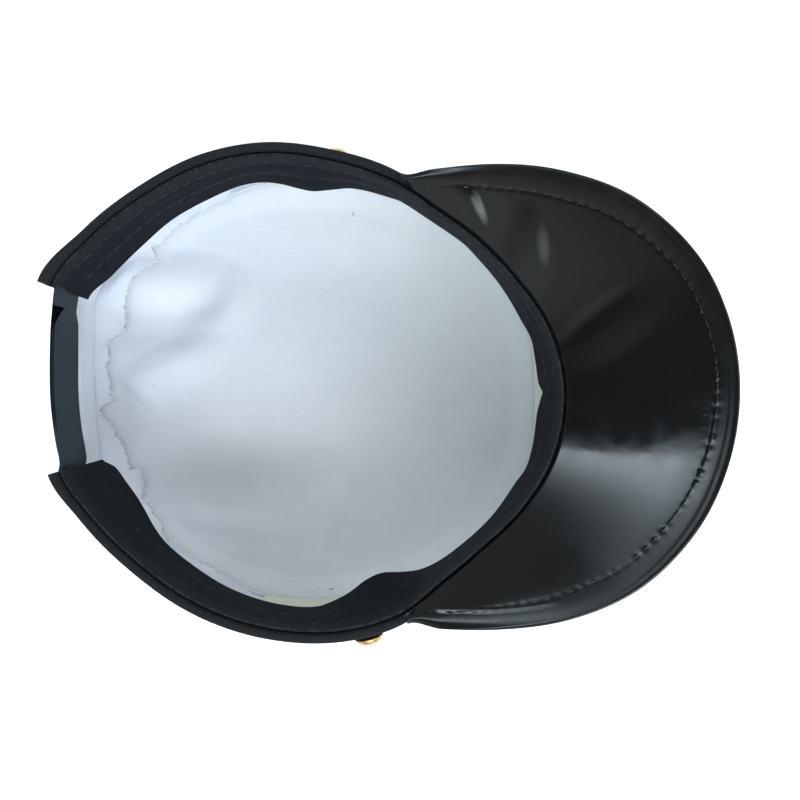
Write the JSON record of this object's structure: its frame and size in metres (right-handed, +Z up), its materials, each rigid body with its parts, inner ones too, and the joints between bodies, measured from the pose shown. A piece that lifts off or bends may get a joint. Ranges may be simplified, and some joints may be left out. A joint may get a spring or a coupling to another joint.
{
  "type": "captain hat",
  "caption": "White cotton captain hat with a black twill band, glossy black peak, black sweatband, elastic back and gilt side buttons, lying upside down on its crown.",
  "frame": {"origin": "on the surface that the hat lies on, below the middle of the band", "axes": "+X towards the peak, +Z up out of the head opening, away from the crown; the hat is upside down"},
  "size_m": [0.2496, 0.1934, 0.1288],
  "materials": {
    "white_cotton": "plain-weave cotton, matt, slightly cool white",
    "cream_stiffener": "stiff non-woven interlining, matt cream",
    "black_twill": "black cotton twill",
    "black_cotton": "blue-black cotton, matt, with grey stitching",
    "slate_elastic": "dark satin-woven elastic",
    "black_vinyl": "glossy black vinyl with a rounded, stitched rim",
    "gilt_metal": "polished gilt"
  },
  "bodies": {
    "root": {"crown_top": "white_cotton", "crown_side": "white_cotton", "crown_stiffener": "cream_stiffener", "hat_band": "black_twill", "sweatband": "black_cotton", "back_elastic": "slate_elastic", "peak": "black_vinyl", "button_left": "gilt_metal", "button_right": "gilt_metal"}
  },
  "joints": []
}
